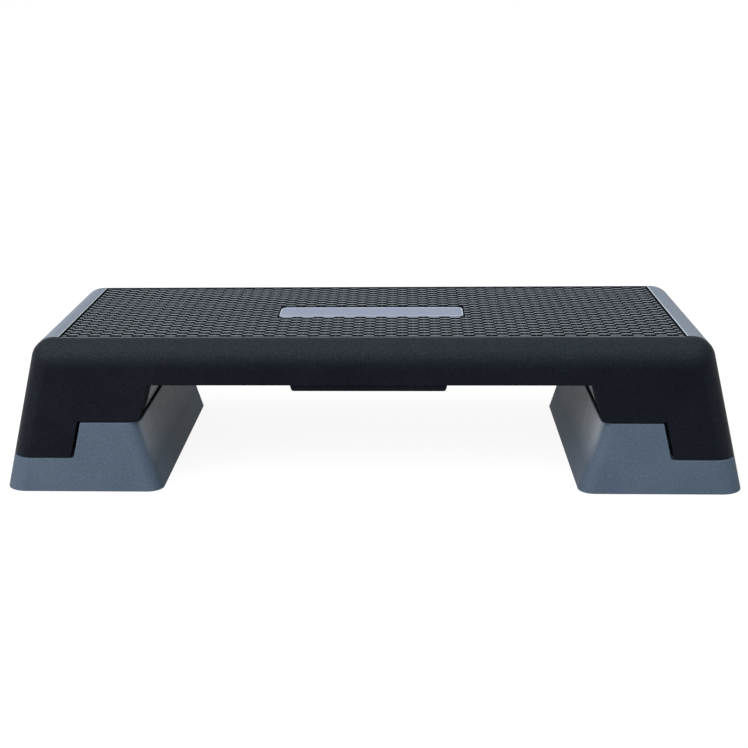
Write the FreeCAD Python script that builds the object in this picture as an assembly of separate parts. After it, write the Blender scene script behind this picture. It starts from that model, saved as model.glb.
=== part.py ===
import FreeCAD, Part
import math
import os

os.makedirs("parts", exist_ok=True)

# Overall size of the platform standing on its feet at the middle setting
overall_length = 980.0
overall_depth = 380.0
deck_top_height = 201.0
skirt_height = 55.5
height_steps = 3
end_draft_angle = 13.2
face_draft_angle = 5.0
corner_radius = 30.0
top_edge_radius = 28.0
cut_overrun = 20.0
match_tolerance = 0.3
right_angle = 90.0

# Deck shell: a thin moulding, open below, with a stepped leg at each end
deck_wall = 4.0
deck_upper_end_wall = 9.0
deck_skin = 4.0
cavity_edge_radius = 22.0
cavity_ledge_drop = 42.0
leg_width = 200.5
leg_step_width = 93.5
tab_edge_angle = 15.2
tab_corner_radius = 1.5
skirt_corner_radius = 2.0
leg_shelf_width = 14.0
leg_shelf_thickness = 4.0
fin_setback = 0.4
fin_thickness = 4.0
fin_depth = 42.0
fin_height_above_tab = 10.0
fin_corner_radius = 8.0
rib_thickness = 3.0
rib_drop = 37.0
rib_face_margin = 85.0
rib_end_margin = 130.0
ribs_along = 4
ribs_across = 9

# Tread mat, end trims and name plate, all let into one recess in the top
recess_depth = 3.6
tread_front_margin = 5.8
tread_back_margin = 1.5
tread_thickness = 4.0
tread_corner_radius = 5.0
tread_side_gap = 1.0
tread_first_rib = 8.8
tread_row_pitch = 13.66
tread_grooves = 20
tread_groove_width = 6.0
tread_groove_depth = 2.2
tread_back_channel = 4.8
plate_length = 258.0
plate_depth = 52.0
plate_thickness = 3.8
plate_corner_radius = 10.0
plate_edge_radius = 0.8
plate_forward_shift = 6.0
plate_side_gap = 1.0
trim_groove = 3.0
trim_flat_width = 7.3
trim_front_margin = 8.8
trim_back_wrap = 8.5
trim_drop = 26.0
trim_facets = 3
trim_side_gap = 0.5
trim_edge_radius = 1.2

# Feet: stepped hollow blocks that nest under the deck legs
foot_inner_lead = 0.47
foot_inner_angle = 15.8
foot_inner_corner_radius = 20.0
foot_wall = 4.0
foot_step_gap = 4.4
foot_edge_radius = 1.0
foot_step_radius = 3.0
foot_rib_lift = 8.0
plug_top_gap = 7.3
plug_face_gap = 67.0
plug_setback = 4.6
plug_end_gap = 18.5
plug_corner_radius = 10.0
plug_edge_radius = 3.0
groove_rim = 2.0
groove_width = 5.0
groove_drop = 14.0
groove_end_gap = 15.7
groove_backing = 5.0
lip_height = 9.0
lip_thickness = 3.5
lip_gap = 1.0
lip_length = 52.0

# Rubber pads under the deck legs and under the feet
deck_pad_thickness = 2.2
deck_pad_length = 52.0
deck_pad_width = 10.0
deck_pad_setback = 3.0
deck_pad_corner_radius = 3.0
floor_pad_radius = 11.0
floor_pad_thickness = 4.0
floor_pad_stand = 1.0
floor_pad_edge_radius = 0.4
floor_pad_inset = 20.0
pad_socket_gap = 0.3
pad_boss_wall = 6.0
pad_boss_height = 18.0

# Carry grip behind the front skirt, held up by two screws
grip_half_length = 102.7
grip_end_taper = 2.7
grip_hang = 9.5
grip_roof_gap = 21.4
grip_thickness = 13.0
grip_corner_radius = 5.0
grip_edge_radius = 3.0
ear_half_width = 13.0
ear_reach = 31.0
ear_thickness = 6.0
finger_gap_depth = 44.0
screw_end_inset = 15.0
screw_setback = 21.0
screw_shank_radius = 2.1
screw_head_radius = 4.6
screw_head_height = 3.2
screw_head_edge_radius = 1.0
screw_side_gap = 0.3
screw_tip_gap = 2.0
screw_roof = 5.4
boss_radius = 6.5

# Levels and slopes that follow from the sizes above
end_slope = math.tan(math.radians(end_draft_angle))
face_slope = math.tan(math.radians(face_draft_angle))
tab_slope = math.tan(math.radians(tab_edge_angle))
foot_inner_slope = math.tan(math.radians(foot_inner_angle))
half_length = overall_length / 2
half_depth = overall_depth / 2
height_step = (deck_top_height - skirt_height) / height_steps
leg_bottom = height_step
tab_bottom = leg_bottom + height_step
skirt_bottom = tab_bottom + height_step
low_ledge = leg_bottom - deck_pad_thickness
high_ledge = tab_bottom - deck_pad_thickness
recess_floor = deck_top_height - recess_depth
underside = recess_floor - deck_skin
cavity_ledge = underside - cavity_ledge_drop
rib_bottom = underside - rib_drop
foot_bottom = floor_pad_stand
plug_top = rib_bottom - plug_top_gap
plug_half_depth = half_depth - plug_face_gap
tab_inner_half_width = half_length - leg_width
tab_step_half_width = half_length - leg_step_width
far_x = half_length + cut_overrun
far_y = half_depth + cut_overrun
far_z = deck_top_height + cut_overrun
low_z = -cut_overrun


def end_x(z, inset):
    return half_length - z * end_slope - inset / math.cos(math.radians(end_draft_angle))


def face_y(z, inset):
    return half_depth - z * face_slope - inset / math.cos(math.radians(face_draft_angle))


def tab_inner_x(z):
    return tab_inner_half_width + (skirt_bottom - z) * tab_slope


def tab_step_x(z):
    return tab_step_half_width - (z - leg_bottom) * end_slope


foot_inner_half_width = tab_inner_x(tab_bottom) - high_ledge * foot_inner_slope - foot_inner_lead


def foot_inner_x(z):
    return foot_inner_half_width + z * foot_inner_slope


def tapered_block(low, high):
    x_outline = []
    y_outline = []
    for x_low, x_high, half_y, z in (low, high):
        x_outline.append([(x_low, z), (x_high, z)])
        y_outline.append([(-half_y, z), (half_y, z)])
    x_outline = x_outline[0] + x_outline[1][::-1]
    y_outline = y_outline[0] + y_outline[1][::-1]
    along = Part.makePolygon([FreeCAD.Vector(x, -far_y, z) for x, z in x_outline + x_outline[:1]])
    across = Part.makePolygon([FreeCAD.Vector(-far_x, y, z) for y, z in y_outline + y_outline[:1]])
    along = Part.Face(along).extrude(FreeCAD.Vector(0, 2 * far_y, 0))
    across = Part.Face(across).extrude(FreeCAD.Vector(2 * far_x, 0, 0))
    return along.common(across)


def box_between(x_low, x_high, y_low, y_high, z_low, z_high):
    corner = FreeCAD.Vector(x_low, y_low, z_low)
    return Part.makeBox(x_high - x_low, y_high - y_low, z_high - z_low, corner)


def rising(edge):
    ends = [vertex.Point.z for vertex in edge.Vertexes]
    return abs(ends[0] - ends[-1]) > match_tolerance


def lying_at(edge, z):
    return abs(edge.BoundBox.ZMin - z) < match_tolerance and abs(edge.BoundBox.ZMax - z) < match_tolerance


def drafted_block(bottom, top, end_inset, face_inset, corner, edge):
    sections = []
    for z in (bottom, top):
        sections.append((-end_x(z, end_inset), end_x(z, end_inset), face_y(z, face_inset), z))
    block = tapered_block(sections[0], sections[1])
    block = block.makeFillet(corner, [e for e in block.Edges if rising(e)])
    if edge > 0:
        block = block.makeFillet(edge, [e for e in block.Edges if lying_at(e, top)])
    return block


def rounded_wire(corners):
    edges = []
    starts = []
    for index, (point, radius) in enumerate(corners):
        back = (corners[index - 1][0] - point).normalize()
        ahead = (corners[(index + 1) % len(corners)][0] - point).normalize()
        half_angle = back.getAngle(ahead) / 2
        reach = radius / math.tan(half_angle)
        first = point + back * reach
        last = point + ahead * reach
        if radius > 0:
            inward = (back + ahead).normalize()
            middle = point + inward * (radius / math.sin(half_angle) - radius)
            edges.append(Part.Arc(first, middle, last).toShape())
        starts.append((first, last))
    for index, (first, last) in enumerate(starts):
        edges.append(Part.makeLine(last, starts[(index + 1) % len(starts)][0]))
    return Part.Wire(Part.__sortEdges__(edges))


def outline_prism(points, y_low, y_high):
    corners = [(FreeCAD.Vector(x, y_low, z), radius) for x, z, radius in points]
    return Part.Face(rounded_wire(corners)).extrude(FreeCAD.Vector(0, y_high - y_low, 0))


def slab(length, width, corner, z_low, z_high, y_shift):
    block = box_between(-length / 2, length / 2, y_shift - width / 2, y_shift + width / 2, z_low, z_high)
    return block.makeFillet(corner, [e for e in block.Edges if rising(e)])


def mirrored_x(shape):
    return shape.mirror(FreeCAD.Vector(0, 0, 0), FreeCAD.Vector(1, 0, 0))


def mirrored_y(shape):
    return shape.mirror(FreeCAD.Vector(0, 0, 0), FreeCAD.Vector(0, 1, 0))


def both_sides(points):
    return points + [(-x, z, radius) for x, z, radius in reversed(points)]


# Outer form shared by the deck and the feet
envelope = drafted_block(0, deck_top_height, 0, 0, corner_radius, top_edge_radius)

# Hollow under the deck
cavity_corner = corner_radius - deck_wall
upper_cavity = drafted_block(
    cavity_ledge, underside, deck_upper_end_wall, deck_wall, cavity_corner, cavity_edge_radius)
leg_cavity = drafted_block(
    leg_bottom + leg_shelf_thickness, cavity_ledge, deck_wall, deck_wall, cavity_corner, 0)
shelf_corner = corner_radius - leg_shelf_width
shelf_opening = drafted_block(
    low_z, leg_bottom + leg_shelf_thickness, leg_shelf_width, leg_shelf_width, shelf_corner, 0)
deck = envelope.cut([upper_cavity, leg_cavity, shelf_opening])

# Outline of the skirt and the stepped leg tabs, cut through front and back
tab_points = [
    (tab_inner_x(skirt_bottom), skirt_bottom, skirt_corner_radius),
    (tab_inner_x(tab_bottom), tab_bottom, tab_corner_radius),
    (tab_step_x(tab_bottom), tab_bottom, tab_corner_radius),
    (tab_step_x(leg_bottom), leg_bottom, tab_corner_radius),
    (far_x, leg_bottom, 0),
    (far_x, low_z, 0),
]
deck = deck.cut(outline_prism(both_sides(tab_points), -far_y, far_y))

# Stiffening ribs under the top, kept clear of the finger gap
rib_limit = drafted_block(
    rib_bottom, underside + deck_skin / 2, deck_wall, deck_wall / 2, cavity_corner, cavity_edge_radius)
half_rib = rib_thickness / 2
rib_spacing_along = 2 * (half_depth - rib_face_margin) / (ribs_along - 1)
rib_spacing_across = 2 * (half_length - rib_end_margin) / (ribs_across - 1)
ribs = []
for index in range(ribs_along):
    y = (index - (ribs_along - 1) / 2) * rib_spacing_along
    ribs.append(box_between(-far_x, far_x, y - half_rib, y + half_rib, rib_bottom, underside))
for index in range(ribs_across):
    x = (index - (ribs_across - 1) / 2) * rib_spacing_across
    ribs.append(box_between(x - half_rib, x + half_rib, -far_y, far_y, rib_bottom, underside))
rib_grid = ribs[0].fuse(ribs[1:]).common(rib_limit)
front_inside = -face_y(skirt_bottom, deck_wall)
finger_back = front_inside + grip_thickness + finger_gap_depth
finger_gap = box_between(-grip_half_length, grip_half_length, -far_y, finger_back, skirt_bottom, underside)
deck = deck.fuse(rib_grid.cut(finger_gap))

# Stiffening fin behind the inner edge of each leg tab
fin_low = tab_bottom + fin_height_above_tab
fin_outline = [
    (tab_inner_x(fin_low) + fin_setback, fin_low, 0),
    (tab_inner_x(fin_low) + fin_setback + fin_thickness, fin_low, 0),
    (tab_inner_x(underside) + fin_setback + fin_thickness, underside, 0),
    (tab_inner_x(underside) + fin_setback, underside, 0),
]
fin_back = -face_y(fin_low, deck_wall) + fin_depth
fin = outline_prism(fin_outline, -far_y, fin_back)
fin_edges = []
for edge in fin.Edges:
    if lying_at(edge, fin_low) and abs(edge.BoundBox.YMin - fin_back) < match_tolerance:
        fin_edges.append(edge)
fin = fin.makeFillet(fin_corner_radius, fin_edges).common(rib_limit.fuse(
    drafted_block(leg_bottom, rib_bottom, deck_wall, deck_wall / 2, cavity_corner, 0)))
fins = [fin, mirrored_x(fin), mirrored_y(fin), mirrored_x(mirrored_y(fin))]
deck = deck.fuse(fins)

# Screw bosses for the carry grip
grip_top = underside - grip_roof_gap
screw_half_spacing = grip_half_length - screw_end_inset
hole_length = grip_roof_gap - screw_roof
screw_y = front_inside + screw_setback
for side in (-1, 1):
    centre = FreeCAD.Vector(side * screw_half_spacing, screw_y, grip_top)
    boss = Part.makeCylinder(boss_radius, far_z - grip_top, centre).common(rib_limit)
    hole = Part.makeCylinder(screw_shank_radius + screw_side_gap, hole_length, centre)
    deck = deck.fuse(boss).cut(hole)

# Recess for the tread mat and the end trims
trim_low = deck_top_height - trim_drop
arc_angle = math.radians(right_angle - end_draft_angle)
arc_x = end_x(deck_top_height, 0) - top_edge_radius * math.tan(arc_angle / 2)
arc_z = deck_top_height - top_edge_radius
arc_radius = top_edge_radius - recess_depth
trim_inner_x = arc_x - trim_flat_width
face_arc_angle = math.radians(right_angle - face_draft_angle)
face_arc_y = face_y(deck_top_height, 0) - top_edge_radius * math.tan(face_arc_angle / 2)
tread_half_length = trim_inner_x - trim_groove
tread_front = tread_front_margin - face_arc_y
tread_back = face_arc_y - tread_back_margin


def trim_outline(inner_gap, low_gap):
    points = [(trim_inner_x - inner_gap, recess_floor, 0)]
    for index in range(trim_facets + 1):
        angle = math.radians(right_angle) - arc_angle * index / trim_facets
        points.append((arc_x + arc_radius * math.cos(angle), arc_z + arc_radius * math.sin(angle), 0))
    points.append((end_x(trim_low - low_gap, recess_depth), trim_low - low_gap, 0))
    points.append((far_x, trim_low - low_gap, 0))
    points.append((far_x, far_z, 0))
    points.append((trim_inner_x - inner_gap, far_z, 0))
    return points


trim_front = trim_front_margin - face_arc_y
trim_back = face_arc_y + trim_back_wrap
trim_space = outline_prism(trim_outline(trim_groove, trim_side_gap), trim_front - trim_side_gap,
                           trim_back + trim_side_gap)
recess = box_between(-trim_inner_x, trim_inner_x, tread_front - tread_side_gap, tread_back + tread_side_gap,
                     recess_floor, far_z)
deck = deck.cut([recess, trim_space, mirrored_x(trim_space)])
deck = deck.removeSplitter()

# End trims, following the rounded end edge
right_trim = envelope.common(outline_prism(trim_outline(0, 0), trim_front, trim_back))
trim_edges = []
for edge in right_trim.Edges:
    if lying_at(edge, deck_top_height) and abs(edge.BoundBox.XMax - trim_inner_x) < match_tolerance:
        trim_edges.append(edge)
right_trim = right_trim.makeFillet(trim_edge_radius, trim_edges)

# Tread mat with rows of ribs between straight grooves, a channel along its back and a window for the name plate
tread_top = recess_floor + tread_thickness
tread_depth = tread_back - tread_front
tread_middle = (tread_front + tread_back) / 2
tread = slab(2 * tread_half_length, tread_depth, tread_corner_radius, recess_floor, tread_top, tread_middle)
window_length = plate_length + 2 * plate_side_gap
window_depth = plate_depth + 2 * plate_side_gap
window_corner = plate_corner_radius + plate_side_gap
window = slab(window_length, window_depth, window_corner, low_z, far_z, -plate_forward_shift)
groove_floor = tread_top - tread_groove_depth
channels = [box_between(-far_x, far_x, tread_back - tread_back_channel, far_y, groove_floor, far_z)]
for row in range(tread_grooves):
    y = tread_front + tread_first_rib + (row + 1 / 2) * tread_row_pitch
    channels.append(box_between(-far_x, far_x, y - tread_groove_width / 2, y + tread_groove_width / 2,
                                groove_floor, far_z))
tread = tread.cut(channels).cut(window)

# Name plate, left blank
plate_top = recess_floor + plate_thickness
plate = slab(plate_length, plate_depth, plate_corner_radius, recess_floor, plate_top, -plate_forward_shift)
plate = plate.makeFillet(plate_edge_radius, [e for e in plate.Edges if lying_at(e, plate_top)])


def foot_block(bottom, top, inset, inner_corner, outer_corner):
    sections = []
    for z in (bottom, top):
        inner = foot_inner_x(z) + inset / math.cos(math.radians(foot_inner_angle))
        sections.append((inner, end_x(z, inset), face_y(z, inset), z))
    block = tapered_block(sections[0], sections[1])
    middle = (foot_inner_half_width + half_length) / 2
    inner_edges = [e for e in block.Edges if rising(e) and e.BoundBox.XMax < middle]
    outer_edges = [e for e in block.Edges if rising(e) and e.BoundBox.XMin > middle]
    return block.makeFillet(inner_corner, inner_edges).makeFillet(outer_corner, outer_edges)


def step_cut(ledge, inset, radius):
    above = high_ledge + cut_overrun
    step_low = tab_step_x(ledge) - foot_step_gap - inset
    step_high = tab_step_x(above) - foot_step_gap - inset
    outline = [(step_low, ledge, radius), (far_x, ledge, 0), (far_x, above, 0), (step_high, above, 0)]
    return outline_prism(outline, -far_y, far_y)


def plug_block(inset, bottom, top):
    inner_low = foot_inner_x(high_ledge) + plug_setback + inset + (high_ledge - bottom) * tab_slope
    inner_high = foot_inner_x(high_ledge) + plug_setback + inset - (top - high_ledge) * tab_slope
    outline = [(inner_low, bottom, 0), (inner_high, top, 0), (end_x(top, plug_end_gap + inset), top, 0),
               (end_x(bottom, plug_end_gap + inset), bottom, 0)]
    return outline_prism(outline, inset - plug_half_depth, plug_half_depth - inset)


# Right foot: stepped skin, plug, locating lips, ribs and pad sockets
foot = foot_block(foot_bottom, high_ledge, 0, foot_inner_corner_radius, corner_radius)
foot = foot.cut(step_cut(low_ledge, 0, foot_step_radius))
rim_edges = []
for edge in foot.Edges:
    box = edge.BoundBox
    on_face = abs(box.YMin) > plug_half_depth and box.YMin * box.YMax > 0
    above_ledge = box.ZMin > low_ledge - match_tolerance
    on_end = lying_at(edge, low_ledge) and box.XMax > tab_step_half_width
    if on_end or lying_at(edge, high_ledge) or (on_face and above_ledge):
        rim_edges.append(edge)
foot = foot.makeFillet(foot_edge_radius, rim_edges)

plug = plug_block(0, low_ledge - foot_wall / 2, plug_top)
plug = plug.makeFillet(plug_corner_radius, [e for e in plug.Edges if rising(e)])
plug = plug.makeFillet(plug_edge_radius, [e for e in plug.Edges if lying_at(e, plug_top)])
foot_keep = foot_block(foot_bottom, plug_top + cut_overrun, 0, foot_inner_corner_radius, corner_radius)
plug_low = box_between(0, far_x, -far_y, far_y, low_z, high_ledge)
foot = foot.fuse(plug.cut(plug_low)).fuse(plug.common(plug_low).common(foot_keep))

for side in (-1, 1):
    lip_outer = face_y(leg_bottom, leg_shelf_width) - lip_gap
    lip_ends = sorted([side * lip_outer, side * (lip_outer - lip_thickness)])
    lip_start = tab_step_x(low_ledge)
    lip = box_between(lip_start, lip_start + lip_length, lip_ends[0], lip_ends[1],
                      low_ledge - foot_wall / 2, low_ledge + lip_height)
    foot = foot.fuse(lip)

groove_start = foot_inner_x(high_ledge) + groove_rim
groove_end = groove_start + groove_width
groove_half_length = face_y(high_ledge, 0) - groove_end_gap
groove = box_between(groove_start, groove_end, -groove_half_length, groove_half_length,
                     high_ledge - groove_drop, high_ledge)
foot = foot.cut(groove)

hollow = foot_block(low_z, high_ledge - foot_wall, foot_wall, foot_inner_corner_radius - foot_wall,
                    corner_radius - foot_wall)
hollow = hollow.cut(step_cut(low_ledge - foot_wall, foot_wall, 0))
groove_block = box_between(0, groove_end + groove_backing, -far_y, far_y,
                           high_ledge - groove_drop - foot_wall, far_z)
plug_hollow = plug_block(foot_wall, foot_bottom, plug_top - foot_wall)
plug_hollow = plug_hollow.cut(box_between(0, far_x, -far_y, far_y, low_z, low_ledge - foot_wall))
above_groove = box_between(0, groove_end + groove_backing, -far_y, far_y,
                           high_ledge - groove_drop - foot_wall, high_ledge + foot_wall)
foot_hollow = hollow.cut(groove_block).fuse(plug_hollow.cut(above_groove))

rib_zone = foot_block(foot_rib_lift, high_ledge, foot_wall / 2, foot_inner_corner_radius - foot_wall,
                      corner_radius - foot_wall)
rib_zone = rib_zone.cut(step_cut(low_ledge - foot_wall / 2, foot_wall / 2, 0))
foot_rib = box_between(0, far_x, plug_half_depth - foot_wall, plug_half_depth, 0, high_ledge)
foot_ribs = foot_rib.fuse(mirrored_y(foot_rib)).common(rib_zone).common(foot_hollow)
foot = foot.cut(foot_hollow.cut(foot_ribs))

pad_centres = []
for x in (foot_inner_x(foot_bottom) + floor_pad_inset, end_x(foot_bottom, 0) - floor_pad_inset):
    for y in (-half_depth + floor_pad_inset, half_depth - floor_pad_inset):
        pad_centres.append((x, y))
boss_outer = floor_pad_radius + pad_socket_gap + pad_boss_wall
foot_limit = foot_block(foot_bottom, high_ledge, foot_wall / 2, foot_inner_corner_radius - foot_wall / 2,
                        corner_radius - foot_wall / 2)
for x, y in pad_centres:
    socket_roof = floor_pad_thickness
    centre = FreeCAD.Vector(x, y, foot_bottom)
    boss = Part.makeCylinder(boss_outer, pad_boss_height, centre).common(foot_limit)
    socket = Part.makeCylinder(floor_pad_radius + pad_socket_gap, socket_roof - foot_bottom, centre)
    foot = foot.fuse(boss).cut(socket)
right_foot = foot.removeSplitter()

# Floor pads of the right foot, front pair first
floor_pads = []
for x, y in pad_centres:
    pad = Part.makeCylinder(floor_pad_radius, floor_pad_thickness, FreeCAD.Vector(x, y, 0))
    floor_pads.append(pad.makeFillet(floor_pad_edge_radius, [e for e in pad.Edges if lying_at(e, 0)]))

# Pads under the leg shelf, on which the deck stands
deck_pad_start = tab_step_x(leg_bottom) + deck_pad_setback
deck_pad_front = -face_y(leg_bottom, 0) + deck_pad_setback
deck_pad = box_between(deck_pad_start, deck_pad_start + deck_pad_length, deck_pad_front,
                       deck_pad_front + deck_pad_width, low_ledge, leg_bottom)
deck_pad = deck_pad.makeFillet(deck_pad_corner_radius, [e for e in deck_pad.Edges if rising(e)])

# Carry grip: a rounded bar against the inside of the front skirt with two screw ears
grip_bottom = skirt_bottom - grip_hang
grip_points = [
    (grip_half_length - grip_end_taper, grip_bottom, grip_corner_radius),
    (grip_half_length, skirt_bottom, 0),
    (grip_half_length, grip_top, 0),
]
grip = outline_prism(both_sides(grip_points), -far_y, far_y)
bar_front_low = -face_y(grip_bottom, deck_wall)
bar_front_high = -face_y(grip_top, deck_wall)
bar_section = [(bar_front_low, grip_bottom), (bar_front_low + grip_thickness, grip_bottom),
               (bar_front_high + grip_thickness, grip_top), (bar_front_high, grip_top)]
bar_wire = Part.makePolygon([FreeCAD.Vector(-far_x, y, z) for y, z in bar_section + bar_section[:1]])
bar = Part.Face(bar_wire).extrude(FreeCAD.Vector(2 * far_x, 0, 0))
bar = bar.makeFillet(grip_edge_radius, [e for e in bar.Edges if lying_at(e, grip_bottom)
                                        and e.BoundBox.XLength > overall_length])
grip = grip.common(bar)
for side in (-1, 1):
    x = side * screw_half_spacing
    ear = box_between(x - ear_half_width, x + ear_half_width, bar_front_high + grip_thickness / 2,
                      bar_front_high + ear_reach, grip_top - ear_thickness, grip_top)
    hole_base = FreeCAD.Vector(x, screw_y, low_z)
    hole = Part.makeCylinder(screw_shank_radius + screw_side_gap, far_z, hole_base)
    grip = grip.fuse(ear).cut(hole)
grip = grip.removeSplitter()

# Screws that hold the grip, heads under the ears
screws = []
screw_shank_length = ear_thickness + hole_length - screw_tip_gap
for side in (-1, 1):
    base = FreeCAD.Vector(side * screw_half_spacing, screw_y, grip_top - ear_thickness)
    shank = Part.makeCylinder(screw_shank_radius, screw_shank_length, base)
    head_base = FreeCAD.Vector(base.x, base.y, base.z - screw_head_height)
    head = Part.makeCylinder(screw_head_radius, screw_head_height, head_base)
    head = head.makeFillet(screw_head_edge_radius, [e for e in head.Edges if lying_at(e, head_base.z)])
    screws.append(shank.fuse(head).removeSplitter())

# Named pieces
pieces = {
    "deck_shell": deck,
    "tread_mat": tread,
    "name_plate": plate,
    "right_end_trim": right_trim,
    "left_end_trim": mirrored_x(right_trim),
    "right_foot": right_foot,
    "left_foot": mirrored_x(right_foot),
    "right_front_deck_pad": deck_pad,
    "right_rear_deck_pad": mirrored_y(deck_pad),
    "left_front_deck_pad": mirrored_x(deck_pad),
    "left_rear_deck_pad": mirrored_x(mirrored_y(deck_pad)),
    "carry_grip": grip,
    "grip_screws": Part.makeCompound(screws),
}
pad_places = ["front_inner", "rear_inner", "front_outer", "rear_outer"]
for place, pad in zip(pad_places, floor_pads):
    pieces["right_foot_" + place + "_pad"] = pad
    pieces["left_foot_" + place + "_pad"] = mirrored_x(pad)

for name, shape in pieces.items():
    shape.exportStep("parts/" + name + ".step")
    print(name, len(shape.Solids), shape.isValid(), round(shape.Volume))
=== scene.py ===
import math

import bpy
import numpy as np
from mathutils import Matrix


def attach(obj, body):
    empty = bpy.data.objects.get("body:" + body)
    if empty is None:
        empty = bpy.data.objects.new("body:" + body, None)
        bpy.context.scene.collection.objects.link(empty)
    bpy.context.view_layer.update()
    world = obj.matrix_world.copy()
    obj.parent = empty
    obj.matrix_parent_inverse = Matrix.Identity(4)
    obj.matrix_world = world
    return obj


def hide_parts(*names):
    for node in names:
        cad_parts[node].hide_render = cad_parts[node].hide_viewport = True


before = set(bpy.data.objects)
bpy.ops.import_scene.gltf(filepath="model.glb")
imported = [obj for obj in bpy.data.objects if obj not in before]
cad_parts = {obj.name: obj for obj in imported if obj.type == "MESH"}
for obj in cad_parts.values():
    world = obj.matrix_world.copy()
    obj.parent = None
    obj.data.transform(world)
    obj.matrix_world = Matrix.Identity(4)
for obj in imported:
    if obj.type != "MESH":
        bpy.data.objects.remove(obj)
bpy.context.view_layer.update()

MM = 0.001
SAME_PLACE = 1e-6


# ---- Nodes of materials ----

def linear(code):
    """sRGB hex to linear: c / 12.92 up to 0.04045, and ((c + 0.055) / 1.055) to the power 2.4 above it."""
    c = np.array([int(code[i:i + 2], 16) for i in (1, 3, 5)]) / 255
    c = np.where(c <= 0.04045, c / 12.92, ((c + 0.055) / 1.055) ** 2.4)
    return (*c.tolist(), 1.0)


def add(tree, kind, inputs=None, **settings):
    """Adds one node, sets its settings, and gives each input a value or a link."""
    node = tree.nodes.new("ShaderNode" + kind)
    for name, value in settings.items():
        setattr(node, name, value)
    for name, value in (inputs or {}).items():
        if isinstance(value, bpy.types.NodeSocket):
            tree.links.new(value, node.inputs[name])
        else:
            node.inputs[name].default_value = value
    return node


def calculate(tree, operation, *values, **settings):
    """One step of arithmetic on one or two numbers."""
    return add(tree, "Math", dict(enumerate(values)), operation=operation, **settings).outputs[0]


def ramp(tree, value, low, high, at_low=0.0, at_high=1.0, **settings):
    """Goes from at_low to at_high as the value goes from low to high, and stays level beyond them."""
    inputs = {"Value": value, "From Min": low, "From Max": high, "To Min": at_low, "To Max": at_high}
    return add(tree, "MapRange", inputs, **settings).outputs[0]


def blend(tree, share, first, second):
    """Mixes two colours, each a hex code or a link: the first at a share of 0, the second at a share of 1."""
    first, second = (linear(colour) if isinstance(colour, str) else colour for colour in (first, second))
    return add(tree, "Mix", {0: share, 6: first, 7: second}, data_type="RGBA").outputs[2]


def scaled(tree, colour, factor):
    """A colour made lighter or darker by a factor."""
    return add(tree, "VectorMath", {0: colour, "Scale": factor}, operation="SCALE").outputs[0]


def axes_of(tree, vector):
    """The X, Y and Z of a place or a direction."""
    return add(tree, "SeparateXYZ", {0: vector}).outputs


def noise(tree, place, size, detail):
    """Noise with spots of about the size given in millimetres."""
    return add(tree, "TexNoise", {"Vector": place, "Scale": 1 / (size * MM), "Detail": detail}).outputs["Fac"]


def new_material(name):
    """An empty material and its node tree."""
    material = bpy.data.materials.new(name)
    material.use_nodes = True
    material.node_tree.nodes.clear()
    return material, material.node_tree


def place_on_piece(tree):
    """The place in the piece's own frame, which the textures go by."""
    return add(tree, "TexCoord").outputs["Object"]


def surface(tree, inputs):
    """Ends a material in one principled surface."""
    shader = add(tree, "BsdfPrincipled", inputs)
    add(tree, "OutputMaterial", {"Surface": shader.outputs[0]})


# ---- Shapes, in millimetres ----

# The tread mat: its outline and its levels
mat_half_length = 410.3
mat_front = -140.9
mat_back = 145.2
mat_bottom = 197.4
floor_level = 198.2
thread_level = 200.3
flange_level = 200.5
crest_level = 201.4

# Its plain flange along the front
flange_back = -137.8
flange_slope = 0.4

# Its bars, which stand in columns, and the thread along the middle of each column
column_width = 14.635
columns_each_side = 29
row_pitch = 13.66
row_count = 21
first_rib = -132.16
bar_wall = 0.9
joint_wall = 0.3
crown_line = 4.4
crown_drop = 0.2
thread_half_width = 1.0
bars_half_length = 408.6
bars_from = -138.4
bars_to = 139.2
closest_lines = 0.2

# Its window, and the plate in the window
plate_half_length = 129.0
plate_low = -32.0
plate_high = 20.0
window_gap = 1.0
window_radius = 11.0
window_steps = (11.0, 9.6, 7.6, 5.2, 2.8, 1.0, 0.0, 0.0)
rim_at_ends = 0.6
rim_behind = 5.5
plate_corner_radius = 10.0
plate_level = 201.0

# The plate's raised bead, and the shallow line inside it as steps inward and down from the plate's level
bead_width = 2.2
bead_foot = 0.35
bead_rise = 0.6
line_inward = np.array([0.5, 1.3, 1.9, 2.4])
line_down = np.array([0.45, 0.45, 0.1, 0.0])
points_per_turn = 9


def mat_columns():
    """Lines across the mat. In every column they run at the joint, at the top edges and the crown of the bar and at
    the edges of the thread. More run at the rounded ends of the plate's window, where the end line comes twice."""
    half = column_width / 2
    thread_edge = thread_half_width + joint_wall
    marks = np.array([-half, joint_wall - half, -crown_line, -thread_edge, -thread_half_width,
                      thread_half_width, thread_edge, crown_line, half - joint_wall])
    columns = np.arange(-columns_each_side, columns_each_side + 1)
    lines = (columns[:, None] * column_width + marks[None, :]).ravel()
    side = plate_half_length + window_gap
    special = [mat_half_length, bars_half_length, bars_half_length - joint_wall]
    special += [side - step for step in window_steps]
    special += [side + rim_at_ends, side + rim_at_ends + joint_wall]
    special = np.array(special + [-x for x in special])
    lines = lines[np.abs(lines) < bars_half_length]
    lines = lines[np.abs(lines[:, None] - special[None, :]).min(axis=1) > closest_lines]
    return np.sort(np.concatenate([lines, special]))


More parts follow.
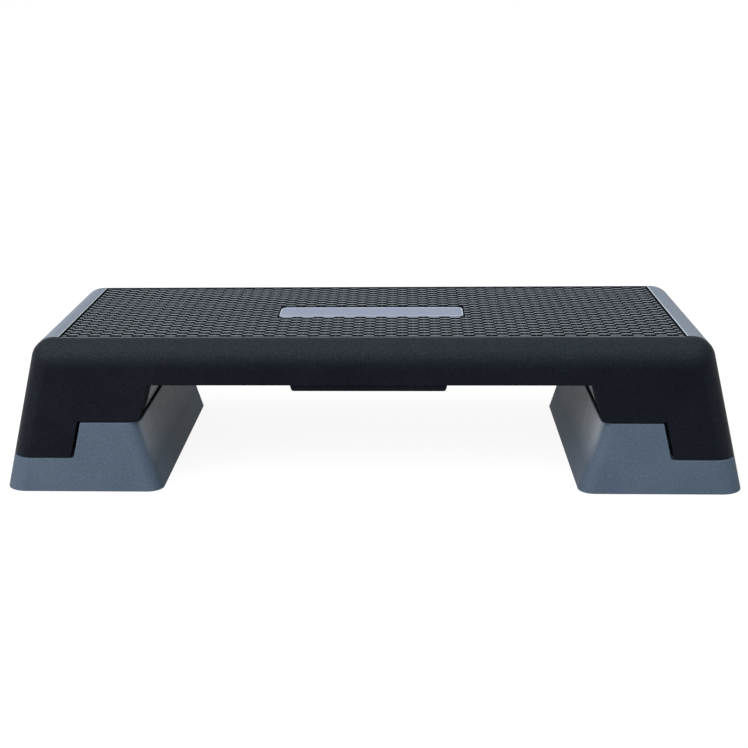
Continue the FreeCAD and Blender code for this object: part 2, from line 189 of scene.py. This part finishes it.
def mat_rows():
    """Lines along the mat: at the joints and the top edges of the bars of both kinds of column, at the flange in
    front and at the limits of the bars."""
    half = row_pitch / 2
    marks = np.array([-half, bar_wall - half, -bar_wall, 0.0, bar_wall, half - bar_wall])
    lines = (first_rib + np.arange(-1, row_count + 1)[:, None] * row_pitch + marks[None, :]).ravel()
    behind_plate = plate_high + window_gap + rim_behind
    special = np.array([mat_front, mat_front + flange_slope, flange_back - flange_slope, flange_back,
                        bars_from, bars_from + bar_wall, behind_plate, behind_plate + joint_wall,
                        bars_to - bar_wall, bars_to, mat_back])
    lines = lines[(lines > bars_from) & (lines < bars_to)]
    lines = lines[np.abs(lines[:, None] - special[None, :]).min(axis=1) > closest_lines]
    return np.sort(np.concatenate([lines, special]))


def mat_height(x, y):
    """Height of the basket weave. Each column of bars is set half a row from its neighbours. Every bar is a block
    with steep walls, and its top sinks toward its ends by the square of the distance. A lower thread runs along the
    middle of the column, and the higher of the two shows. Both stop at the channel along the back and short of the
    plate's window, and a plain flange runs along the front."""
    column = np.round(x / column_width)
    across = np.abs(x - column * column_width)
    row_start = first_rib + np.where(column % 2 == 0, -1, 1) * row_pitch / 4
    middle = row_start + row_pitch * np.round((y - row_start) / row_pitch)
    off_ends = np.abs(x) - plate_half_length - window_gap - rim_at_ends
    behind = y - plate_high - window_gap - rim_behind
    beside = np.clip(np.maximum(np.maximum(off_ends, behind), plate_low - y) / joint_wall, 0, 1)
    in_rows = np.minimum(y - bars_from, bars_to - y) / bar_wall
    in_columns = (bars_half_length - np.abs(x)) / joint_wall
    within = np.minimum(np.clip(np.minimum(in_rows, in_columns), 0, 1), beside)
    block = np.minimum((column_width / 2 - across) / joint_wall,
                       (row_pitch / 4 - np.abs(y - middle)) / bar_wall)
    crown = crest_level - crown_drop * (across / (column_width / 2)) ** 2
    bar = np.minimum(np.clip(block, 0, 1), within) * (crown - floor_level)
    strand = np.clip((thread_half_width + joint_wall - across) / joint_wall, 0, 1)
    thread = np.minimum(strand, within) * (thread_level - floor_level)
    flange = np.clip((flange_back - y) / flange_slope, 0, 1) * (flange_level - floor_level)
    return floor_level + np.maximum(np.maximum(bar, thread), flange)


def tread_mesh():
    """The top of the mat: a grid of columns and rows lifted by the height of the weave. Rows that would cross the
    plate's window are held at its rounded edge, and the cells inside it are left out."""
    x = mat_columns()
    rows = mat_rows()
    side = plate_half_length + window_gap
    y = np.repeat(rows[None, :], len(x), axis=0)
    corner = np.clip(np.abs(x) - (side - window_radius), 0, window_radius)
    inset = window_radius - np.sqrt(window_radius ** 2 - corner ** 2)
    low = plate_low - window_gap + inset
    high = plate_high + window_gap - inset
    split = int(np.searchsorted(rows, (plate_low + plate_high) / 2))
    ends = np.where(np.abs(np.abs(x) - side) < SAME_PLACE)[0]
    for i in ends:
        for edge in (low[i], high[i]):
            y[i, np.argmin(np.abs(y[i] - edge))] = edge
    held = y.copy()
    held[:, :split] = np.minimum(y[:, :split], low[:, None])
    held[:, split:] = np.maximum(y[:, split:], high[:, None])
    crossing = np.abs(x) <= side + SAME_PLACE
    crossing[[ends[0], ends[-1]]] = False
    y = np.where(crossing[:, None], held, y)
    x_grid = np.repeat(x[:, None], len(rows), axis=1)
    points = np.stack([x_grid, y, mat_height(x_grid, y)], axis=2).reshape(-1, 3)
    i, j = np.meshgrid(np.arange(len(x) - 1), np.arange(len(rows) - 1), indexing="ij")
    window_row = np.arange(len(rows) - 1) == split - 1
    inside = (crossing[:-1] & crossing[1:])[:, None] & window_row[None, :]
    keep = ~inside & (np.diff(x) > SAME_PLACE)[:, None]
    first = i[keep] * len(rows) + j[keep]
    quads = np.stack([first, first + len(rows), first + len(rows) + 1, first + 1], axis=1)
    return points, quads


def merged(points, quads, grid=1e-4):
    """Points that fall together become one, and faces lose the corners and whole cells that this closes up."""
    cells = np.round(points / grid).astype(np.int64)
    _, first, back = np.unique(cells, axis=0, return_index=True, return_inverse=True)
    quads = back.ravel()[quads]
    same = quads == np.roll(quads, -1, axis=1)
    closed = same.sum(axis=1)
    full = quads[closed == 0]
    short = quads[closed == 1][~same[closed == 1]].reshape(-1, 3)
    return points[first], full, short


def border_edges(faces):
    """Directed edges that only one face uses."""
    edges = np.concatenate([np.stack([f, np.roll(f, -1, axis=1)], axis=2).reshape(-1, 2) for f in faces])
    code = edges.min(axis=1).astype(np.int64) * (edges.max() + 1) + edges.max(axis=1)
    _, where, times = np.unique(code, return_inverse=True, return_counts=True)
    return edges[times[where.ravel()] == 1]


def closed_below(points, quads, tris, level):
    """Adds the walls under both open borders, down to one level, and two many-sided faces that close the underside,
    one on each side of a cut through the window's middle."""
    edges = border_edges([quads, tris])
    follow = dict(edges.tolist())
    loops = []
    while follow:
        start, at = follow.popitem()
        loop = [start]
        while at != start:
            loop.append(at)
            at = follow.pop(at)
        loops.append(np.array(loop))
    loops.sort(key=len, reverse=True)
    outer, window = loops
    ring = np.concatenate([outer, window])
    foot = points[ring].copy()
    foot[:, 2] = level
    below = np.zeros(len(points), np.int64)
    below[ring] = len(points) + np.arange(len(ring))
    walls = np.stack([edges[:, 1], edges[:, 0], below[edges[:, 0]], below[edges[:, 1]]], axis=1)
    points = np.concatenate([points, foot])

    def middle(loop, y_sign):
        on_side = np.where(points[loop, 1] * y_sign > 0)[0]
        return on_side[np.argmin(np.abs(points[loop[on_side], 0]))]

    outer = np.roll(outer, -middle(outer, -1))
    window = np.roll(window, -middle(window, -1))
    outer_half = middle(outer, 1)
    window_half = middle(window, 1)
    first = np.concatenate([outer[:outer_half + 1], window[window_half:], window[:1]])
    second = np.concatenate([outer[outer_half:], outer[:1], window[:window_half + 1]])
    undersides = [below[first][::-1].tolist(), below[second][::-1].tolist()]
    return points, quads.tolist() + tris.tolist() + walls.tolist() + undersides


def plate_mesh():
    """The plate: a profile of inset and height carried round a rounded rectangle. It goes up the wall, over a raised
    round bead, down into a shallow line and up to the flat field, which one many-sided face closes, as one closes
    the underside."""
    corner = np.linspace(0, np.pi / 2, points_per_turn)
    radius = plate_corner_radius
    half_depth = (plate_high - plate_low) / 2
    middle = (plate_high + plate_low) / 2
    turn = np.concatenate([corner + quarter * np.pi / 2 for quarter in range(4)])
    centre_x = (plate_half_length - radius) * np.repeat([1, -1, -1, 1], len(corner))
    centre_y = middle + (half_depth - radius) * np.repeat([1, 1, -1, -1], len(corner))
    bead = np.linspace(0, np.pi, points_per_turn)
    inset = np.concatenate([[0.0], bead_width / 2 * (1 - np.cos(bead)), bead_width + line_inward])
    height = np.concatenate([[mat_bottom], plate_level - bead_foot + bead_rise * np.sin(bead),
                             plate_level - line_down])
    x = centre_x[None, :] + (radius - inset)[:, None] * np.cos(turn)[None, :]
    y = centre_y[None, :] + (radius - inset)[:, None] * np.sin(turn)[None, :]
    z = np.repeat(height[:, None], len(turn), axis=1)
    points = np.stack([x, y, z], axis=2).reshape(-1, 3)
    ring, step = np.meshgrid(np.arange(len(inset) - 1), np.arange(len(turn)), indexing="ij")
    here = (ring * len(turn) + step).ravel()
    there = (ring * len(turn) + (step + 1) % len(turn)).ravel()
    quads = np.stack([here, there, there + len(turn), here + len(turn)], axis=1)
    field = (len(inset) - 1) * len(turn) + np.arange(len(turn))
    underside = np.arange(len(turn))[::-1]
    return points, quads.tolist() + [field.tolist(), underside.tolist()]


def piece(name, points, faces, material, body, node):
    """A mesh object at the origin from points in millimetres, riding on a body in place of its CAD node."""
    mesh = bpy.data.meshes.new(name)
    mesh.from_pydata((np.asarray(points) * MM).tolist(), [], faces)
    mesh.update()
    mesh.materials.append(material)
    made = bpy.data.objects.new(name, mesh)
    bpy.context.collection.objects.link(made)
    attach(made, body)
    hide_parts(node)
    return made


# ---- Materials: where they change, in millimetres ----

melt_cloud = 70
# Heights where the painted highlight fades down the deck's shoulder, and where the painted light on the feet's upper
# walls begins and is full
shoulder_low, shoulder_high = 164, 190
lit_wall_low, lit_wall_high = 35, 92
bead_fade = 0.1

# At the joint between trim and mat: outward from the joint where the painted highlight and the painted shade each
# begin and are full, and levels of the painted shade
rim_begins, rim_full = 1.1, 0.8
joint_shade_begins, joint_shade_full = 0.5, 0.2
joint_shade_top, joint_shade_bottom = 200.5, 200.1

# On the tread: levels that tell the gaps from the threads and those from the bars, the reach of the painted highlight
# along a bar, and the edge of the flange's painted highlight in front of the flange's back
thread_shows, thread_full = 199.9, 200.1
bar_shows, bar_full = 200.45, 200.7
bar_highlight_begins, bar_highlight_ends = 1.5, 6.8
flange_highlight_begins, flange_highlight_full = 0.2, 0.5


def moulded_plastic(name, colour, cloudy, worn_and_lit, roughness, specular, grain, bump, edge, contrast,
                    joint=None, painted_top_light=None, painted_wall_light=None, bead=None):
    """Injection-moulded polypropylene from an etched tool. It gives the eye an even colour under a fine pebble grain,
    faint clouds from the flow of the melt, and edges painted a little paler, partly as wear from handling and partly
    as a painted highlight. The real grain is about 0.4 mm, and is drawn coarser so that it shows at all.

    Painted top light is a colour painted on faces as they turn upward and, fading out, on the first stretch of the
    wall below, as painted light from above and a painted highlight on the shoulder. Faces of such a piece that look
    down are the inside of the moulding, which the tool leaves matt. Painted wall light is a colour painted on the
    upper part of walls that face along the length, as painted light. Above the level called bead the piece is painted
    pale as a highlight. A joint is how far from the middle the piece meets the mat: there it has a painted highlight
    along its top edge and painted shade down its side."""
    material, tree = new_material(name)
    place = place_on_piece(tree)
    at = axes_of(tree, place)
    pebble = add(tree, "TexVoronoi", {"Vector": place, "Scale": 1 / (grain * MM)}, feature="SMOOTH_F1")
    fine = noise(tree, place, 0.7 * grain, 3.0)
    cloud = noise(tree, place, melt_cloud, 4.0)
    soft = add(tree, "Bevel", {"Radius": edge * MM}, samples=6).outputs["Normal"]
    turned = axes_of(tree, soft)
    height = calculate(tree, "ADD", pebble.outputs["Distance"], fine)
    normal = add(tree, "Bump", {"Strength": 1.0, "Distance": bump * MM, "Height": height, "Normal": soft})
    facing = add(tree, "VectorMath", {0: soft, 1: add(tree, "NewGeometry").outputs["Normal"]},
                 operation="DOT_PRODUCT").outputs["Value"]
    # Edges are painted paler: partly wear from handling, partly a painted highlight.
    edge_wear_and_highlight = ramp(tree, facing, 0.995, 0.8, 0.0, 0.8)
    drift = ramp(tree, cloud, 0.35, 0.65, 0.0, 0.5)
    finish = blend(tree, edge_wear_and_highlight, blend(tree, drift, colour, cloudy), worn_and_lit)
    # Painted light: faces turning upward, and the shoulder below the top edge, are painted paler as light from above
    # and a highlight.
    if painted_top_light:
        upward = calculate(tree, "POWER", ramp(tree, turned["Z"], 0.12, 1.0), 0.6)
        shoulder = ramp(tree, at["Z"], shoulder_low * MM, shoulder_high * MM, 0.0, 0.6,
                        interpolation_type="SMOOTHSTEP")
        finish = blend(tree, calculate(tree, "MAXIMUM", upward, shoulder), finish, painted_top_light)
    # Painted light: the upper part of walls facing along the length is painted paler.
    if painted_wall_light:
        ends = ramp(tree, calculate(tree, "ABSOLUTE", turned["X"]), 0.7, 0.95)
        tall = ramp(tree, at["Z"], lit_wall_low * MM, lit_wall_high * MM, 0.0, 0.9)
        patch = ramp(tree, cloud, 0.3, 0.6, 0.55, 1.0)
        upper_walls = calculate(tree, "MULTIPLY", ends, tall)
        finish = blend(tree, calculate(tree, "MULTIPLY", upper_walls, patch), finish, painted_wall_light)
    # Painted highlight: above the bead level the colour goes pale.
    if bead:
        top = ramp(tree, at["Z"], bead * MM, (bead + bead_fade) * MM, 0.0, 0.7)
        finish = blend(tree, top, finish, worn_and_lit)
    specks = ramp(tree, fine, 0.4, 0.7, 1 - contrast, 1 + contrast)
    finish = scaled(tree, finish, specks)
    # Painted highlight on the top edge at the joint, and painted shade down its side into the gap.
    if joint:
        out = calculate(tree, "ABSOLUTE", at["X"])
        rim_highlight = ramp(tree, out, (joint + rim_begins) * MM, (joint + rim_full) * MM)
        side = ramp(tree, out, (joint + joint_shade_begins) * MM, (joint + joint_shade_full) * MM)
        low = ramp(tree, at["Z"], joint_shade_top * MM, joint_shade_bottom * MM)
        finish = blend(tree, rim_highlight, finish, worn_and_lit)
        finish = blend(tree, calculate(tree, "MULTIPLY", side, low), finish, "#0c0d0f")
    gloss = ramp(tree, cloud, 0.3, 0.7, roughness - 0.04, roughness + 0.04)
    if painted_top_light:
        inside = ramp(tree, turned["Z"], -0.12, -0.22, 0.0, 0.5)
        gloss = calculate(tree, "ADD", gloss, inside, use_clamp=True)
    surface(tree, {"Base Color": finish, "Roughness": gloss, "Specular IOR Level": specular, "IOR": 1.49,
                   "Normal": normal.outputs[0]})
    return material


def tread_rubber_material():
    """Moulded rubber in a basket weave. The tops of the bars that face up are painted a grey that is partly scuffing
    from shoes and partly painted light from above, with a painted highlight toward the middle of each column, the
    threads between them are darker, and the walls and gaps are painted black as shade, so the colour follows the
    height and which way the surface faces. The flange along the front is painted palest as a highlight, and a fine
    sanded skin dulls all of it."""
    material, tree = new_material("woven_tread_rubber")
    place = place_on_piece(tree)
    at = axes_of(tree, place)
    facing = axes_of(tree, add(tree, "NewGeometry").outputs["True Normal"])
    fine = noise(tree, place, 1.7, 4.0)
    cloud = noise(tree, place, 60, 3.0)
    patchy = ramp(tree, cloud, 0.3, 0.7, 0.0, 0.6)
    sanded = ramp(tree, fine, 0.35, 0.75, 0.0, 0.5)
    along_bar = calculate(tree, "PINGPONG", at["X"], column_width / 2 * MM)
    # Painted highlight: each bar is painted brighter toward the middle of its column.
    painted_bar_highlight = ramp(tree, along_bar, bar_highlight_begins * MM, bar_highlight_ends * MM, 1.04, 0.92)
    dust_and_light_grey = blend(tree, sanded, blend(tree, patchy, "#6c7279", "#777d84"), "#8e9296")
    # Tops that face up are painted pale, partly as scuffing and partly as painted light; walls and gaps are painted
    # black as shade.
    bar_top = ramp(tree, at["Z"], bar_shows * MM, bar_full * MM)
    scuffed_and_lit_tops = blend(tree, bar_top, "#26292f", scaled(tree, dust_and_light_grey, painted_bar_highlight))
    above_gap = ramp(tree, at["Z"], thread_shows * MM, thread_full * MM)
    worn_and_lit = calculate(tree, "MULTIPLY", above_gap, ramp(tree, facing["Z"], 0.6, 0.85))
    # Painted highlight: the flange in front is painted palest.
    painted_flange_highlight = ramp(tree, at["Y"], (flange_back - flange_highlight_begins) * MM, (flange_back - flange_highlight_full) * MM)
    base = blend(tree, painted_flange_highlight, blend(tree, worn_and_lit, "#08090b", scuffed_and_lit_tops), "#868c92")
    normal = add(tree, "Bump", {"Strength": 1.0, "Distance": 0.05 * MM, "Height": fine})
    surface(tree, {"Base Color": base, "Roughness": 0.75, "Specular IOR Level": 0.12, "IOR": 1.52,
                   "Normal": normal.outputs[0]})
    return material


def pad_rubber_material():
    """Plain black rubber of the pads: dull, with a fine sanded skin and a little pale bloom."""
    material, tree = new_material("black_pad_rubber")
    place = place_on_piece(tree)
    base = blend(tree, noise(tree, place, 9, 2.0), "#141517", "#26272a")
    normal = add(tree, "Bump", {"Strength": 1.0, "Distance": 0.08 * MM, "Height": noise(tree, place, 1.2, 4.0)})
    surface(tree, {"Base Color": base, "Roughness": 0.78, "Specular IOR Level": 0.3, "IOR": 1.52,
                   "Normal": normal.outputs[0]})
    return material


def plated_steel():
    """Zinc-plated screw steel: bright, faintly bluish metal with a fine turned grain."""
    material, tree = new_material("zinc_plated_steel")
    place = place_on_piece(tree)
    grain = noise(tree, place, 0.8, 3.0)
    surface(tree, {"Base Color": blend(tree, grain, "#b9bcc0", "#cfd1d2"),
                   "Roughness": ramp(tree, grain, 0.0, 1.0, 0.28, 0.45), "Metallic": 1.0})
    return material


# The pale edge colours below are partly wear and partly a painted highlight; the deck's top colour and the feet's
# wall colour are painted light.
black_plastic = moulded_plastic(
    "black_moulded_polypropylene", colour="#0f1219", cloudy="#171a21", worn_and_lit="#262a31", roughness=0.46,
    specular=0.05, grain=3.0, bump=0.1, edge=1.2, contrast=0.3, painted_top_light="#282d33")
foot_plastic = moulded_plastic(
    "blue_grey_moulded_polypropylene", colour="#4b5866", cloudy="#556270", worn_and_lit="#8e9aa7", roughness=0.6,
    specular=0.13, grain=3.0, bump=0.14, edge=1.2, contrast=0.12, painted_wall_light="#a8abb0")
trim_plastic = moulded_plastic(
    "grey_satin_polypropylene", colour="#7a838d", cloudy="#858e98", worn_and_lit="#c6d0d8", roughness=0.5,
    specular=0.2, grain=1.7, bump=0.06, edge=1.0, contrast=0.06, joint=413.4)
plate_plastic = moulded_plastic(
    "grey_lacquered_plate", colour="#8a92a4", cloudy="#949cad", worn_and_lit="#c9d2dc", roughness=0.45,
    specular=0.2, grain=1.7, bump=0.04, edge=0.5, contrast=0.03, bead=201.02)
tread_rubber = tread_rubber_material()
pad_rubber = pad_rubber_material()
screw_steel = plated_steel()

# ---- Pieces ----

points, quads = tread_mesh()
points, quads, tris = merged(points, quads)
points, faces = closed_below(points, quads, tris, mat_bottom)
tread = piece("woven_tread", points, faces, tread_rubber, "deck", "tread_mat")
points, faces = plate_mesh()
plate = piece("blank_plate", points, faces, plate_plastic, "deck", "name_plate")

# Materials of the CAD nodes that still show. Those not named here are pads.
node_materials = {
    "deck_shell": black_plastic, "carry_grip": black_plastic, "grip_screws": screw_steel,
    "left_foot": foot_plastic, "right_foot": foot_plastic,
    "left_end_trim": trim_plastic, "right_end_trim": trim_plastic,
}
for name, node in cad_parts.items():
    node.data.materials.clear()
    node.data.materials.append(node_materials.get(name, pad_rubber))

# ---- Studio: a pale paper floor, a white surround and soft light from above and in front ----

floor_reach = 60.0
floor_glow = 0.9
room_level = 0.28
white_below, dim_above = 0.04, 0.32


def seen_directly(tree):
    """1 for rays from the camera and for mirrored or refracted rays, 0 for the rays that light the object."""
    path = add(tree, "LightPath").outputs
    seen = calculate(tree, "MAXIMUM", path["Is Camera Ray"], path["Is Glossy Ray"])
    return calculate(tree, "MAXIMUM", seen, path["Is Transmission Ray"])


def studio_floor():
    """A wide paper floor. It is matt, and most of its white is shown as such so that it stays white round the object
    while the object's shadow still falls on it."""
    material, tree = new_material("white_paper_floor")
    seen = seen_directly(tree)
    matt = add(tree, "BsdfDiffuse", {"Color": blend(tree, seen, "#8c8c8c", "#707070")})
    strength = calculate(tree, "MULTIPLY", seen, floor_glow)
    glow = add(tree, "Emission", {"Color": linear("#ffffff"), "Strength": strength})
    both = add(tree, "AddShader", {0: matt.outputs[0], 1: glow.outputs[0]})
    add(tree, "OutputMaterial", {"Surface": both.outputs[0]})
    corners = [(x * floor_reach, y * floor_reach, 0) for x, y in ((-1, -1), (1, -1), (1, 1), (-1, 1))]
    mesh = bpy.data.meshes.new("floor")
    mesh.from_pydata(corners, [], [(0, 1, 2, 3)])
    mesh.materials.append(material)
    floor = bpy.data.objects.new("floor", mesh)
    bpy.context.collection.objects.link(floor)


def studio_room():
    """White round the horizon, where it shows behind the floor, and dim above, so that flat tops don't glare."""
    world = bpy.data.worlds.new("studio")
    bpy.context.scene.world = world
    world.use_nodes = True
    tree = world.node_tree
    tree.nodes.clear()
    rise = axes_of(tree, add(tree, "TexCoord").outputs["Generated"])
    level = ramp(tree, rise["Z"], white_below, dim_above, 1.0, room_level, interpolation_type="SMOOTHSTEP")
    background = add(tree, "Background", {"Color": linear("#ffffff"), "Strength": level})
    add(tree, "OutputWorld", {"Surface": background.outputs[0]})


def stand(name, data, axes, place):
    """An object at a place, turned so that its own X, Y and Z point along the three axes given."""
    made = bpy.data.objects.new(name, data)
    bpy.context.collection.objects.link(made)
    turn = np.stack(axes, axis=1).tolist()
    made.matrix_world = Matrix([(*row, spot) for row, spot in zip(turn, place)] + [(0, 0, 0, 1)])
    return made


def lamp(name, kind, energy, place, aim, colour="#ffffff", **settings):
    """A lamp at a place, with its back axis pointing away from its aim."""
    light = bpy.data.lights.new(name, kind)
    light.energy = energy
    light.color = linear(colour)[:3]
    for setting, value in settings.items():
        setattr(light, setting, value)
    back = np.array(place) - np.array(aim)
    back = back / np.linalg.norm(back)
    across = np.cross([0.0, 1.0, 0.0], back)
    across = across / np.linalg.norm(across)
    stand(name, light, [across, np.cross(back, across), back], place)


studio_floor()
studio_room()
lamp("overhead_soft_light", "SUN", 0.4, (-0.3, 0.5, 3.0), (0.0, 0.0, 0.0), angle=math.radians(80))
lamp("front_soft_light", "SUN", 3.2, (-0.4, -1.0, 1.2), (0.0, 0.0, 0.0), "#f0f6ff", angle=math.radians(76))
lamp("left_softbox", "AREA", 8.0, (-1.4, -1.2, 0.8), (-0.35, 0.0, 0.1), "#fff0e4", shape="SQUARE", size=0.7)

# ---- Camera: position and turn fitted to the photograph's frame of 748 by 748 pixels ----

frame_pixels = 748
focal_pixels = 1253.1
centre_pixel = 338.1
camera_place = (0.048172, -1.72659, 0.633966)
yaw = math.radians(3.2141)
pitch = math.radians(16.9443)
roll = math.radians(-0.9293)
level_forward = np.array([-math.sin(yaw), math.cos(yaw), 0.0])
right = np.array([math.cos(yaw), math.sin(yaw), 0.0])
zenith = np.array([0.0, 0.0, 1.0])
forward = level_forward * math.cos(pitch) - zenith * math.sin(pitch)
up = level_forward * math.sin(pitch) + zenith * math.cos(pitch)
camera_right = right * math.cos(roll) + up * math.sin(roll)
camera_up = up * math.cos(roll) - right * math.sin(roll)
lens = bpy.data.cameras.new("camera")
lens.sensor_width = 36.0
lens.lens = focal_pixels / frame_pixels * lens.sensor_width
lens.shift_x = (frame_pixels / 2 - centre_pixel) / frame_pixels
bpy.context.scene.camera = stand("camera", lens, [camera_right, camera_up, -forward], camera_place)
bpy.context.scene.view_settings.view_transform = "Standard"
